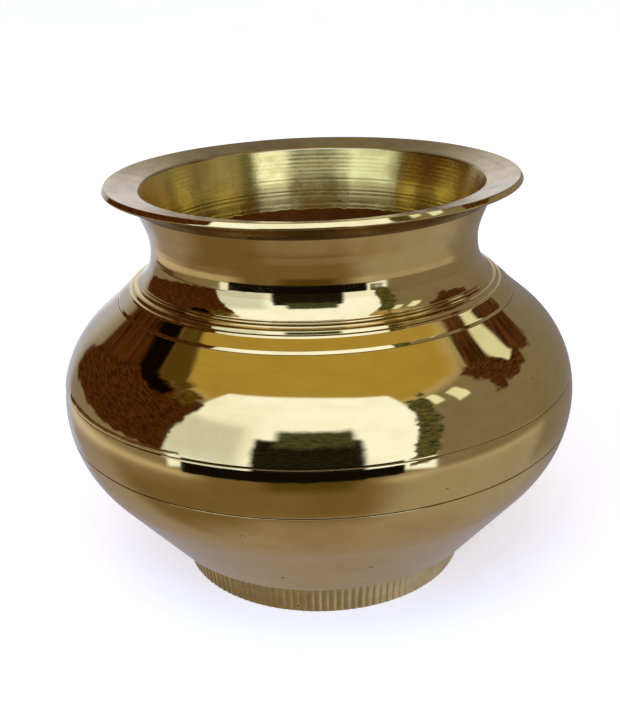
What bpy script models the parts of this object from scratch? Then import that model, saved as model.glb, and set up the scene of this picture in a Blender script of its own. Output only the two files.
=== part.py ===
"""Round-bellied brass kalash pot, built up from turned castings.

The pot is five brass castings, turned on one axis and brazed together: a rim and
neck collar, a shoulder shell, a belly girdle, a lower bowl and a fluted foot ring.
Each joint is a rebate: the lower piece carries a thin tongue that slides up inside
its neighbour (the collar's tongue slides down into the shoulder shell), and a bead
of braze metal runs round the inside of the seam.

Lengths below are in millimetres and are written to the meshes in metres.
The origin is the centre of the face that the foot rests on, with +Z up the axis.
"""
import math

import bmesh
import bpy

MM = 0.001
STEPS = 48
GAP = 0.3

# Driving dimensions
BELLY_RADIUS = 63.5
BELLY_HEIGHT = 46.2
POT_HEIGHT = 99.5
RIM_RADIUS = 50.0
MOUTH_RADIUS = 41.4
FOOT_HEIGHT = 9.3
FOOT_RADIUS = 36.0
FOOT_TOP_RADIUS = 37.3
FLUTES = 128

# Belly: one arc above the widest part and one below, each running out into a cone
UPPER_ARC = 25.6
UPPER_TILT = 50.0
LOWER_ARC = 28.5
LOWER_TILT = 40.0

# Heights of the two seams either side of the widest part
UPPER_SEAM_HEIGHT = 51.8
LOWER_SEAM_HEIGHT = 40.7

# Distances up the shoulder cone from the end of the upper arc
COLLAR_SEAM = 8.0
COLLAR_BAND_TOP = 12.2
COLLAR_BEAD = 13.5
BEAD_HALF_WIDTH = 0.75
INNER_SHOULDER_END = 17.4

# Faces of a wall, as offsets along its outward normal from the belly's surface
BEAD_FACE = 0.72
LIP_FACE = 0.55
LAP_FACE = 0.25
REBATE_FACE = -0.65
TONGUE_FACE = REBATE_FACE - GAP
WALL_FACE = -1.75
TONGUE_LENGTH = 3.5

# Rim, neck and bore; the bevel and undercut are distances in from the rim and down from its top
RIM_BEVEL = (0.75, 1.25)
RIM_UNDERCUT = (0.6, 1.6)
RIM_CORNER = 0.3
MOUTH_CORNER = 0.7
RIM_DISH = 1.7
RIM_UNDERSIDE = (43.4, 96.4)
NECK_WAIST = (39.2, 85.7)
NECK_FOOT = (40.4, 78.0)
BORE_FOOT = (38.0, 81.7)
BORE_BEND = (38.6, 89.3)
BORE_CHAMFER = 0.5

# Radii that round the collar's outline
UNDERSIDE_FILLET = 5.0
WAIST_FILLET = 15.0
NECK_FOOT_FILLET = 9.0
BEAD_FILLET = 0.3
INNER_FILLET = 4.0
BORE_FILLET = 25.0

# Foot and base
FOOT_WALL_RADIUS = 33.1
FLUTE_DEPTH = 0.25
FLOOR_HEIGHT = 11.6
FLOOR_FILLET = 5.0
BASE_CORNER = 0.5
BASE_BOSS_DROP = 1.6

# Braze beads: half their width along the seam and their height off the wall
BRAZE_HALF_WIDTH = 1.25
BRAZE_HEIGHT = 0.7
FOOT_BRAZE_LEG = 1.2


def polar(centre, radius, degrees):
    """Point at an angle above the horizontal through a centre, in the (r, z) plane."""
    angle = math.radians(degrees)
    return (centre[0] + radius * math.cos(angle), centre[1] + radius * math.sin(angle))


def upper_wall(offset, degrees):
    """Point on the belly above its widest part, an offset outside its surface."""
    return polar((BELLY_RADIUS - UPPER_ARC, BELLY_HEIGHT), UPPER_ARC + offset, degrees)


def lower_wall(offset, degrees):
    """Point on the belly below its widest part, at degrees below the horizontal."""
    return polar((BELLY_RADIUS - LOWER_ARC, BELLY_HEIGHT), LOWER_ARC + offset, -degrees)


def shoulder(offset, up):
    """Point on the shoulder cone, a distance up from the end of the upper arc."""
    start = upper_wall(offset, UPPER_TILT)
    return polar(start, up, UPPER_TILT + 90.0)


def under_belly(offset, down):
    """Point on the cone under the belly, a distance down from the end of the lower arc."""
    start = lower_wall(offset, LOWER_TILT)
    return polar(start, down, -LOWER_TILT - 90.0)


def sweep(wall, offset, start, end, steps):
    """Points along a wall between two angles, both ends included."""
    return [wall(offset, start + (end - start) * i / steps) for i in range(steps + 1)]


def rounded(corners, segment_degrees=22.0):
    """Outline through corners given as (r, z) or (r, z, radius), the radii rounded.

    The first and last corners are kept as they are.
    """
    points = [corners[0][:2]]
    for before, corner, after in zip(corners, corners[1:], corners[2:]):
        if len(corner) < 3:
            points.append(corner)
            continue
        points.extend(fillet(before[:2], corner[:2], after[:2], corner[2], segment_degrees))
    points.append(corners[-1][:2])
    return points


def fillet(before, corner, after, radius, segment_degrees):
    """Points of the arc that rounds one corner between two straight runs."""
    into = math.atan2(corner[1] - before[1], corner[0] - before[0])
    out = math.atan2(after[1] - corner[1], after[0] - corner[0])
    turn = (out - into + math.pi) % (2.0 * math.pi) - math.pi
    setback = radius * math.tan(abs(turn) / 2.0)
    start = (corner[0] - setback * math.cos(into), corner[1] - setback * math.sin(into))
    side = math.copysign(math.pi / 2.0, turn)
    centre = (start[0] + radius * math.cos(into + side), start[1] + radius * math.sin(into + side))
    steps = max(1, round(math.degrees(abs(turn)) / segment_degrees))
    first = into - side
    angles = [first + turn * i / steps for i in range(steps + 1)]
    return [(centre[0] + radius * math.cos(a), centre[1] + radius * math.sin(a)) for a in angles]


def clear_scene():
    """Remove every object that is already in the scene."""
    for item in list(bpy.data.objects):
        bpy.data.objects.remove(item, do_unlink=True)


def new_collection(name):
    """Make a collection and link it to the scene."""
    collection = bpy.data.collections.new(name)
    bpy.context.scene.collection.children.link(collection)
    return collection


def brass(name, colour, roughness):
    """A metal finish with one colour and roughness."""
    material = bpy.data.materials.new(name)
    material.use_nodes = True
    shader = material.node_tree.nodes["Principled BSDF"]
    shader.inputs["Base Color"].default_value = (*colour, 1.0)
    shader.inputs["Metallic"].default_value = 1.0
    shader.inputs["Roughness"].default_value = roughness
    return material


def turned(name, outline, closed, material, collection):
    """Turn an outline of (r, z) points about the Z axis into a solid."""
    mesh = bpy.data.meshes.new(name)
    points = [(r * MM, 0.0, z * MM) for r, z in outline]
    last = len(points) if closed else len(points) - 1
    edges = [(i, (i + 1) % len(points)) for i in range(last)]
    mesh.from_pydata(points, edges, [])
    piece = bpy.data.objects.new(name, mesh)
    collection.objects.link(piece)
    spin = piece.modifiers.new("Turn", "SCREW")
    spin.axis = "Z"
    spin.angle = math.tau
    spin.steps = STEPS
    spin.render_steps = STEPS
    spin.use_merge_vertices = True
    spin.merge_threshold = 0.00001
    spin.use_smooth_shade = True
    mesh.materials.append(material)
    return piece


def rim_neck_collar(material, collection):
    """Rim, machined mouth and neck, down to the lip that laps over the shoulder."""
    mouth_height = POT_HEIGHT - RIM_DISH
    tongue_end = COLLAR_SEAM - TONGUE_LENGTH
    flange_middle = ((MOUTH_RADIUS + RIM_RADIUS - RIM_BEVEL[0]) / 2.0, (mouth_height + POT_HEIGHT) / 2.0)
    corners = [
        flange_middle,
        (RIM_RADIUS - RIM_BEVEL[0], POT_HEIGHT, RIM_CORNER),
        (RIM_RADIUS, POT_HEIGHT - RIM_BEVEL[1], RIM_CORNER),
        (RIM_RADIUS - RIM_UNDERCUT[0], POT_HEIGHT - RIM_UNDERCUT[1], RIM_CORNER),
        (*RIM_UNDERSIDE, UNDERSIDE_FILLET),
        (*NECK_WAIST, WAIST_FILLET),
        (*NECK_FOOT, NECK_FOOT_FILLET),
        shoulder(LAP_FACE, COLLAR_BEAD + BEAD_HALF_WIDTH),
        (*shoulder(BEAD_FACE, COLLAR_BEAD), BEAD_FILLET),
        shoulder(LAP_FACE, COLLAR_BEAD - BEAD_HALF_WIDTH),
        shoulder(LIP_FACE, COLLAR_BAND_TOP),
        shoulder(LIP_FACE, COLLAR_SEAM),
        shoulder(TONGUE_FACE, COLLAR_SEAM),
        shoulder(TONGUE_FACE, tongue_end),
        shoulder(WALL_FACE, tongue_end),
        (*shoulder(WALL_FACE, INNER_SHOULDER_END), INNER_FILLET),
        (BORE_FOOT[0] + BORE_CHAMFER, BORE_FOOT[1] - BORE_CHAMFER),
        BORE_FOOT,
        (*BORE_BEND, BORE_FILLET),
        (MOUTH_RADIUS, mouth_height, MOUTH_CORNER),
        flange_middle,
    ]
    outline = rounded(corners)[:-1]
    return turned("rim_neck_collar", outline, True, material, collection)


def shoulder_shell(material, collection):
    """Upper half of the belly, from under the collar's lip to the upper seam."""
    seam = seam_angle(UPPER_SEAM_HEIGHT, UPPER_ARC)
    rebate_end = seam + arc_degrees(TONGUE_LENGTH + GAP, UPPER_ARC)
    top = COLLAR_SEAM - GAP
    step = COLLAR_SEAM - TONGUE_LENGTH - GAP
    outline = [shoulder(LAP_FACE, top)]
    outline += sweep(upper_wall, LAP_FACE, UPPER_TILT, seam, 5)
    outline += sweep(upper_wall, REBATE_FACE, seam, rebate_end, 1)
    outline += sweep(upper_wall, WALL_FACE, rebate_end, UPPER_TILT, 4)
    outline += [shoulder(WALL_FACE, step), shoulder(REBATE_FACE, step), shoulder(REBATE_FACE, top)]
    return turned("shoulder_shell", outline, True, material, collection)


def belly_girdle(material, collection):
    """Ring at the widest part, with a tongue above and a rebate below."""
    upper = seam_angle(UPPER_SEAM_HEIGHT, UPPER_ARC) - arc_degrees(GAP, UPPER_ARC)
    tongue_end = upper + arc_degrees(TONGUE_LENGTH + GAP, UPPER_ARC)
    lower = seam_angle(LOWER_SEAM_HEIGHT, LOWER_ARC)
    rebate_end = lower - arc_degrees(TONGUE_LENGTH + GAP, LOWER_ARC)
    outline = sweep(upper_wall, TONGUE_FACE, tongue_end, upper, 1)
    outline += sweep(upper_wall, 0.0, upper, 0.0, 2)
    outline += sweep(lower_wall, 0.0, 0.0, lower, 2)[1:]
    outline += sweep(lower_wall, REBATE_FACE, lower, rebate_end, 1)
    outline += [lower_wall(WALL_FACE, rebate_end), lower_wall(WALL_FACE, 0.0)]
    outline += sweep(upper_wall, WALL_FACE, 0.0, tongue_end, 3)[1:]
    return turned("belly_girdle", outline, True, material, collection)


def lower_bowl(material, collection):
    """Bottom of the pot, from its tongue at the lower seam to the boss inside the foot."""
    seam = seam_angle(LOWER_SEAM_HEIGHT, LOWER_ARC) + arc_degrees(GAP, LOWER_ARC)
    tongue_end = seam - arc_degrees(TONGUE_LENGTH + GAP, LOWER_ARC)
    base = FOOT_HEIGHT + GAP
    arc_end_height = lower_wall(0.0, LOWER_TILT)[1]
    run = (arc_end_height - base) / math.cos(math.radians(LOWER_TILT))
    inner_end_height = lower_wall(WALL_FACE, LOWER_TILT)[1]
    inner_run = (inner_end_height - FLOOR_HEIGHT) / math.cos(math.radians(LOWER_TILT))
    boss_radius = FOOT_WALL_RADIUS - GAP
    floor = rounded([
        (0.0, FLOOR_HEIGHT),
        (*under_belly(WALL_FACE, inner_run), FLOOR_FILLET),
        lower_wall(WALL_FACE, LOWER_TILT),
    ])
    outline = floor[:-1]
    outline += sweep(lower_wall, WALL_FACE, LOWER_TILT, tongue_end, 4)
    outline += sweep(lower_wall, TONGUE_FACE, tongue_end, seam, 1)
    outline += sweep(lower_wall, 0.0, seam, LOWER_TILT, 4)
    corner = (*under_belly(0.0, run), BASE_CORNER)
    outline += rounded([lower_wall(0.0, LOWER_TILT), corner, (boss_radius, base)])[1:]
    outline += [(boss_radius, base - BASE_BOSS_DROP), (0.0, base - BASE_BOSS_DROP)]
    return turned("lower_bowl", outline, False, material, collection)


def foot_ring(material, collection, cutters):
    """Fluted ring that the pot stands on, open right through."""
    middle = FOOT_HEIGHT * MM / 2.0
    build = bmesh.new()
    bmesh.ops.create_cone(
        build, cap_ends=True, segments=2 * FLUTES, radius1=FOOT_RADIUS * MM,
        radius2=FOOT_TOP_RADIUS * MM, depth=FOOT_HEIGHT * MM,
    )
    for vertex in build.verts:
        turn = round(math.atan2(vertex.co.y, vertex.co.x) / math.tau * 2 * FLUTES)
        if turn % 2:
            radius = vertex.co.xy.length
            vertex.co.xy *= (radius - FLUTE_DEPTH * MM) / radius
        vertex.co.z += middle
    mesh = bpy.data.meshes.new("foot_ring")
    build.to_mesh(mesh)
    build.free()
    mesh.shade_smooth()
    mesh.set_sharp_from_angle(angle=math.radians(30.0))
    mesh.materials.append(material)
    ring = bpy.data.objects.new("foot_ring", mesh)
    collection.objects.link(ring)
    hole = ring.modifiers.new("Hole", "BOOLEAN")
    hole.operation = "DIFFERENCE"
    hole.solver = "EXACT"
    hole.object = round_cutter("foot_hole", FOOT_WALL_RADIUS, FOOT_HEIGHT, cutters)
    return ring


def round_cutter(name, radius, height, cutters):
    """Cylinder that runs past both ends of what it cuts."""
    build = bmesh.new()
    bmesh.ops.create_cone(
        build, cap_ends=True, segments=STEPS, radius1=radius * MM,
        radius2=radius * MM, depth=3.0 * height * MM,
    )
    bmesh.ops.translate(build, verts=build.verts, vec=(0.0, 0.0, height * MM / 2.0))
    mesh = bpy.data.meshes.new(name)
    build.to_mesh(mesh)
    build.free()
    cutter = bpy.data.objects.new(name, mesh)
    cutter.hide_render = True
    cutter.display_type = "WIRE"
    cutters.objects.link(cutter)
    return cutter


def braze_beads(material, collection):
    """Beads of braze metal round the inside of the four seams."""
    foot = WALL_FACE - GAP
    crown = foot - BRAZE_HEIGHT
    neck = COLLAR_SEAM - TONGUE_LENGTH - GAP / 2.0
    bead = [shoulder(foot, neck + BRAZE_HALF_WIDTH), shoulder(foot, neck - BRAZE_HALF_WIDTH), shoulder(crown, neck)]
    turned("neck_braze", bead, True, material, collection)

    half = arc_degrees(BRAZE_HALF_WIDTH, UPPER_ARC)
    upper = seam_angle(UPPER_SEAM_HEIGHT, UPPER_ARC) + arc_degrees(TONGUE_LENGTH + GAP / 2.0, UPPER_ARC)
    bead = [upper_wall(foot, upper + half), upper_wall(foot, upper - half), upper_wall(crown, upper)]
    turned("upper_belly_braze", bead, True, material, collection)

    half = arc_degrees(BRAZE_HALF_WIDTH, LOWER_ARC)
    lower = seam_angle(LOWER_SEAM_HEIGHT, LOWER_ARC) - arc_degrees(TONGUE_LENGTH + GAP / 2.0, LOWER_ARC)
    bead = [lower_wall(foot, lower - half), lower_wall(foot, lower + half), lower_wall(crown, lower)]
    turned("lower_belly_braze", bead, True, material, collection)

    radius = FOOT_WALL_RADIUS - GAP
    top = FOOT_HEIGHT - BASE_BOSS_DROP
    bead = [(radius, top), (radius, top - FOOT_BRAZE_LEG), (radius - FOOT_BRAZE_LEG, top)]
    turned("foot_braze", bead, True, material, collection)


def seam_angle(height, arc):
    """Angle from the widest part to a height on an arc of the belly."""
    return math.degrees(math.asin(abs(height - BELLY_HEIGHT) / arc))


def arc_degrees(length, radius):
    """Angle that a length covers along an arc."""
    return math.degrees(length / radius)


def main():
    """Build every piece of the pot."""
    clear_scene()
    pot = new_collection("brass_kalash_pot")
    cutters = new_collection("cutters")
    polished = brass("polished_brass", (0.62, 0.44, 0.13), 0.12)
    brushed = brass("brushed_brass", (0.52, 0.40, 0.20), 0.32)
    matte = brass("matte_brass", (0.46, 0.37, 0.18), 0.45)
    filler = brass("braze_metal", (0.58, 0.50, 0.28), 0.5)
    rim_neck_collar(brushed, pot)
    shoulder_shell(polished, pot)
    belly_girdle(polished, pot)
    lower_bowl(polished, pot)
    foot_ring(matte, pot, cutters)
    braze_beads(filler, pot)


main()
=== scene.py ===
"""Looks of the brass kalash pot: finely turned pieces, brass finishes, a studio and a camera.

Outlines are worked in millimetres, as (radius, height) points on the pot's turning
axis, and written to meshes in metres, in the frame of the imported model.
"""
import logging
import math
from dataclasses import dataclass
from enum import Enum
from typing import Callable, Sequence

import bmesh
import bpy
from mathutils import Matrix, Vector, noise


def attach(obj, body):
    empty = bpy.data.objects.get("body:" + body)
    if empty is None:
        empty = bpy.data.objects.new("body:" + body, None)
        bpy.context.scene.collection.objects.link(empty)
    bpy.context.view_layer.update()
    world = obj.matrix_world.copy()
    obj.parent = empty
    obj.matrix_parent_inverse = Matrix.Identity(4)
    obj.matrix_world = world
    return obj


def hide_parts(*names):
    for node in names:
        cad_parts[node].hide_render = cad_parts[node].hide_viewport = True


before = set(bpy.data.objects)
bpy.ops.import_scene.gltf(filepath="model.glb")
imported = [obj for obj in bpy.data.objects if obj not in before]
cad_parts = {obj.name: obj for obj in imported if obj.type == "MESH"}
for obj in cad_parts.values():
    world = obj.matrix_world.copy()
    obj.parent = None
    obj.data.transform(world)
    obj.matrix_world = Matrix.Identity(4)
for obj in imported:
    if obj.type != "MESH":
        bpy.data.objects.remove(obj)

LOG = logging.getLogger("kalash_pot")
MM = 0.001
BODY = "root"
AXIS = Vector((0.0, 0.0, 1.0))
CENTRE = (0.0, 0.0, 0.0)
DOUBLINGS = 3
WELD = 1e-6
SHARP_ANGLE = 35.0
MIRROR = 0.03
PINHOLE_DEPTH = 0.12

Point = tuple[float, float]
Colour = tuple[float, float, float]
Mesh = bmesh.types.BMesh
Vertex = bmesh.types.BMVert
Node = bpy.types.Node
Socket = bpy.types.NodeSocket
Tree = bpy.types.NodeTree


class Zone(Enum):
    """Part of a piece's surface that has a finish of its own."""

    POLISHED = "polished"
    NECK = "neck"
    # Under the rim's edge and down the top of the neck; its dark colour is painted shade.
    UNDERSIDE = "underside"
    TOP = "top"
    BORE = "bore"
    RAW = "raw"
    FOOT = "foot"
    BRAZE = "braze"


class Curve(Enum):
    """Which side of the widest part a wall or seam is on."""

    UPPER = 1
    LOWER = -1


# ---------------------------------------------------------------- outlines


@dataclass(frozen=True)
class Belly:
    """The belly's outline: an arc above and below the widest part, each ending in a cone.

    The seams and the widest part are heights, and the tilts are degrees. The collar's
    seam is a distance up the shoulder cone. The lip, lap, rebate, tongue and inside are
    offsets outside the belly's surface.
    """

    radius: float = 63.48
    height: float = 46.2
    upper_arc: float = 25.6
    upper_tilt: float = 50.0
    lower_arc: float = 28.5
    lower_tilt: float = 40.0
    upper_seam: float = 51.8
    lower_seam: float = 40.7
    collar_seam: float = 8.0
    inner_bend: float = 17.4
    lip: float = 0.55
    lap: float = 0.25
    rebate: float = -0.65
    tongue: float = -0.95
    inside: float = -1.75
    tongue_length: float = 3.5
    seam_line: float = 0.07
    wide_seam_line: float = 0.24
    lip_gap: float = 0.12

    def arc(self, side: Curve) -> float:
        """Radius of one of the two arcs."""
        return self.upper_arc if side is Curve.UPPER else self.lower_arc

    def wall(self, side: Curve, offset: float, degrees: float) -> Point:
        """Point on an arc of the belly.

        Args:
            side: Which arc.
            offset: Distance outside the belly's surface.
            degrees: Angle from the widest part.

        Returns:
            The point's radius and height.
        """
        angle = math.radians(degrees)
        reach = self.arc(side) + offset
        r = self.radius - self.arc(side) + reach * math.cos(angle)
        return (r, self.height + side.value * reach * math.sin(angle))

    def cone(self, side: Curve, offset: float, away: float) -> Point:
        """Point on the cone that an arc runs out into.

        Args:
            side: Which arc.
            offset: Distance outside the belly's surface.
            away: Distance along the cone from the arc's end.

        Returns:
            The point's radius and height.
        """
        tilt = self.upper_tilt if side is Curve.UPPER else self.lower_tilt
        angle = math.radians(tilt)
        r, z = self.wall(side, offset, tilt)
        return (r - away * math.sin(angle), z + side.value * away * math.cos(angle))

    def shoulder(self, offset: float, up: float) -> Point:
        """Point on the shoulder cone, a distance up from the end of the upper arc."""
        return self.cone(Curve.UPPER, offset, up)

    def seam_angle(self, side: Curve) -> float:
        """Angle from the widest part to the seam on one side of it."""
        height = self.upper_seam if side is Curve.UPPER else self.lower_seam
        return math.degrees(math.asin(abs(height - self.height) / self.arc(side)))

    def degrees(self, side: Curve, length: float) -> float:
        """Angle that a length covers along an arc."""
        return math.degrees(length / self.arc(side))

    def sweep(self, side: Curve, offset: float, start: float, end: float, pitch: float = 1.2) -> list[Point]:
        """Points along an arc between two angles, both ends included."""
        steps = max(1, round(abs(end - start) / pitch))
        return [self.wall(side, offset, start + (end - start) * i / steps) for i in range(steps + 1)]


def fillet(before: tuple, corner: tuple, after: tuple, pitch: float) -> list[Point]:
    """Round one corner between two straight runs.

    Args:
        before: The corner before.
        corner: The corner, with its radius.
        after: The corner after.
        pitch: Degrees between points.

    Returns:
        The points of the arc.
    """
    radius = corner[2]
    into = math.atan2(corner[1] - before[1], corner[0] - before[0])
    out = math.atan2(after[1] - corner[1], after[0] - corner[0])
    turn = (out - into + math.pi) % math.tau - math.pi
    setback = radius * math.tan(abs(turn) / 2.0)
    side = math.copysign(math.pi / 2.0, turn)
    centre_r = corner[0] - setback * math.cos(into) + radius * math.cos(into + side)
    centre_z = corner[1] - setback * math.sin(into) + radius * math.sin(into + side)
    steps = max(2, round(math.degrees(abs(turn)) / pitch))
    angles = [into - side + turn * i / steps for i in range(steps + 1)]
    return [(centre_r + radius * math.cos(a), centre_z + radius * math.sin(a)) for a in angles]


def rounded(corners: Sequence[tuple], pitch: float = 4.0) -> list[Point]:
    """Points through corners given as (r, z) or (r, z, radius), with the radii rounded.

    Args:
        corners: The corners; the first and last are kept as they are.
        pitch: Degrees between points on a rounded corner.

    Returns:
        The outline's points.
    """
    points = [corners[0][:2]]
    for before, corner, after in zip(corners, corners[1:], corners[2:]):
        if len(corner) < 3:
            points.append(corner)
        else:
            points.extend(fillet(before, corner, after, pitch))
    points.append(corners[-1][:2])
    return points


def divided(start: Point, end: Point, pitch: float) -> list[Point]:
    """Points along a straight run, at most a pitch apart, both ends included."""
    steps = max(1, math.ceil(math.dist(start, end) / pitch - 0.01))
    return [
        (start[0] + (end[0] - start[0]) * i / steps, start[1] + (end[1] - start[1]) * i / steps)
        for i in range(steps + 1)
    ]


def dense(points: Sequence[Point], pitch: float) -> list[Point]:
    """The same outline with a point at least every pitch millimetres."""
    out = [points[0]]
    for start, end in zip(points, points[1:]):
        out.extend(divided(start, end, pitch)[1:])
    return out


def first_index(points: Sequence[Point], test: Callable[[Point], bool]) -> int:
    """Index of the first point of an outline that passes a test."""
    return next(i for i, point in enumerate(points) if test(point))


@dataclass(frozen=True)
class Groove:
    """Fine groove turned into an outline at a height."""

    height: float
    depth: float
    width: float

    def near(self, low: float, high: float) -> bool:
        """Whether the groove touches a span of heights."""
        return low - self.width < self.height < high + self.width

    def cut(self, z: float) -> float:
        """How deep the groove is at a height."""
        return self.depth * math.exp(-(((z - self.height) / self.width) ** 2))


def grooved(points: Sequence[Point], grooves: Sequence[Groove], pitch: float = 0.06) -> list[Point]:
    """Turn grooves into an outline.

    Args:
        points: The outline.
        grooves: Where to cut, and how deep.
        pitch: Distance between points in a groove.

    Returns:
        The outline, with more points where a groove passes.
    """
    out = [points[0]]
    for start, end in zip(points, points[1:]):
        low, high = sorted((start[1], end[1]))
        near = any(groove.near(low, high) for groove in grooves)
        out.extend(divided(start, end, pitch)[1:] if near else [end])
    return [(r - sum(groove.cut(z) for groove in grooves), z) for r, z in out]


# ---------------------------------------------------------------- turned pieces


@dataclass
class TurnedPiece:
    """A piece turned about the pot's axis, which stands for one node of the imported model."""

    node: str
    slot: str
    belly: Belly
    turns: int = 360

    def runs(self) -> list[tuple[Zone, list[Point]]]:
        """Runs of the piece's outline, clockwise round it, with the finish of each."""
        raise NotImplementedError

    def work(self, build: Mesh) -> None:
        """Mark the surface after turning."""

    def build(self, finishes: dict[Zone, bpy.types.Material]) -> bpy.types.Object:
        """Turn the outline, dress it and hand it to the frame.

        Args:
            finishes: Material of each zone.

        Returns:
            The finished object.
        """
        runs = self.runs()
        zones = list(dict.fromkeys(zone for zone, _ in runs))
        build = bmesh.new()
        for zone, points in runs:
            self.turn(build, points, zones.index(zone))
        self.complete(build)
        self.work(build)
        piece = make_object(f"fine_{self.node}", build, [finishes[zone] for zone in zones])
        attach(piece, BODY)
        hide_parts(self.node)
        LOG.info("%s: %d faces", piece.name, len(piece.data.polygons))
        return piece

    def turn(self, build: Mesh, points: Sequence[Point], slot_index: int) -> None:
        """Turn one run of the outline through the first sector.

        Args:
            build: The mesh that the faces are added to.
            points: The run.
            slot_index: Material slot of the faces.
        """
        sectors = 2 ** DOUBLINGS
        made = len(build.faces)
        verts = [build.verts.new((r * MM, 0.0, z * MM)) for r, z in points]
        edges = [build.edges.new(pair) for pair in zip(verts, verts[1:])]
        bmesh.ops.spin(
            build, geom=verts + edges, cent=CENTRE, axis=AXIS,
            angle=math.tau / sectors, steps=self.turns // sectors,
        )
        build.faces.ensure_lookup_table()
        for face in build.faces[made:]:
            face.material_index = slot_index

    def complete(self, build: Mesh) -> None:
        """Double the sector until it closes the circle, and join it."""
        for left in reversed(range(DOUBLINGS)):
            copied = bmesh.ops.duplicate(build, geom=build.verts[:] + build.edges[:] + build.faces[:])
            verts = [item for item in copied["geom"] if isinstance(item, Vertex)]
            turn = Matrix.Rotation(math.pi / 2 ** left, 3, AXIS)
            bmesh.ops.rotate(build, cent=CENTRE, matrix=turn, verts=verts)
        bmesh.ops.remove_doubles(build, verts=build.verts, dist=WELD)
        bmesh.ops.recalc_face_normals(build, faces=build.faces)


def make_object(
    name: str, build: Mesh, materials: Sequence[bpy.types.Material],
) -> bpy.types.Object:
    """Turn a bmesh into a smooth-shaded object at the origin.

    Args:
        name: The object's name.
        build: The mesh, which is freed.
        materials: Its material slots, in order.

    Returns:
        The object, linked to the scene.
    """
    mesh = bpy.data.meshes.new(name)
    build.to_mesh(mesh)
    build.free()
    for material in materials:
        mesh.materials.append(material)
    mesh.shade_smooth()
    mesh.set_sharp_from_angle(angle=math.radians(SHARP_ANGLE))
    piece = bpy.data.objects.new(name, mesh)
    bpy.context.scene.collection.objects.link(piece)
    return piece


def move_out(vertex: Vertex, distance: float) -> None:
    """Move a vertex away from the pot's axis by a distance in millimetres."""
    r = vertex.co.xy.length
    vertex.co.xy *= 1.0 + distance * MM / r


def ripple(vertex: Vertex, size: float, seed: float) -> float:
    """Smooth noise from -1 to 1 at a vertex, with features of a size in millimetres."""
    return noise.noise(vertex.co / (size * MM) + Vector((seed, 0.0, 0.0)))


@dataclass(frozen=True)
class Pit:
    """Small casting pit in a turned surface.

    An azimuth of 0 faces the camera and 90 is on the right.
    """

    azimuth: float
    height: float
    across: float = 0.7
    tall: float = 0.5
    depth: float = 0.35

    def aim(self) -> Vector:
        """Direction out from the axis to the pit."""
        angle = math.radians(self.azimuth)
        return Vector((math.sin(angle), -math.cos(angle), 0.0))

    def far(self, offset: Vector) -> float:
        """How far an offset is from the pit's middle, squared, where 1 is its edge."""
        across = offset.dot(self.aim().cross(AXIS)) / (self.across * MM / 2.0)
        tall = offset.z / (self.tall * MM / 2.0)
        return across * across + tall * tall


def sink_pits(build: Mesh, pits: Sequence[Pit], raw_slot: int) -> None:
    """Sink pits into the surface, after dividing the faces round each.

    Args:
        build: The mesh.
        pits: The pits.
        raw_slot: Material slot of the bare metal in a pit.
    """
    for pit in pits:
        aim = pit.aim()
        reach = max(pit.across, pit.tall) * MM
        level = [v for v in build.verts if abs(v.co.z - pit.height * MM) < reach * 3.0]
        near = [v for v in level if v.co.dot(aim) > 0.0]
        middle = outermost(near, aim, pit.height)
        close = [v for v in near if (v.co - middle).length < reach * 1.6]
        edges = dict.fromkeys(edge for v in close for edge in v.link_edges)
        bmesh.ops.subdivide_edges(build, edges=list(edges), cuts=5, use_grid_fill=True)
        marked = set()
        for vertex in build.verts:
            if (vertex.co - middle).length < reach * 1.5:
                far = pit.far(vertex.co - middle) * (1.0 + 0.5 * ripple(vertex, 0.3, pit.azimuth))
                if far < 0.9:
                    marked.update(vertex.link_faces)
                vertex.co -= aim * pit.depth * MM * math.exp(-(far ** 1.6))
        for face in marked:
            face.material_index = raw_slot


def outermost(verts: Sequence[Vertex], aim: Vector, height: float) -> Vector:
    """Find where a line at one azimuth and height meets the outside of a piece.

    Args:
        verts: Vertices to choose from.
        aim: Direction out from the axis.
        height: Height in millimetres.

    Returns:
        The place of the nearest vertex on the outside.
    """
    def miss(vertex: Vertex) -> float:
        """How far a vertex is from the wanted line, less a share of its radius."""
        beside = abs(vertex.co.x * aim.y - vertex.co.y * aim.x)
        return beside + abs(vertex.co.z - height * MM) - vertex.co.xy.length * 0.5

    return min(verts, key=miss).co.copy()


def waver(vertex: Vertex) -> float:
    """Small unevenness of a polished wall, in millimetres."""
    broad = 0.030 * ripple(vertex, 34.0, 11.0)
    rings = 0.006 * noise.noise(Vector((vertex.co.z / (2.3 * MM), 8.0, 0.0)))
    return broad + rings


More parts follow.
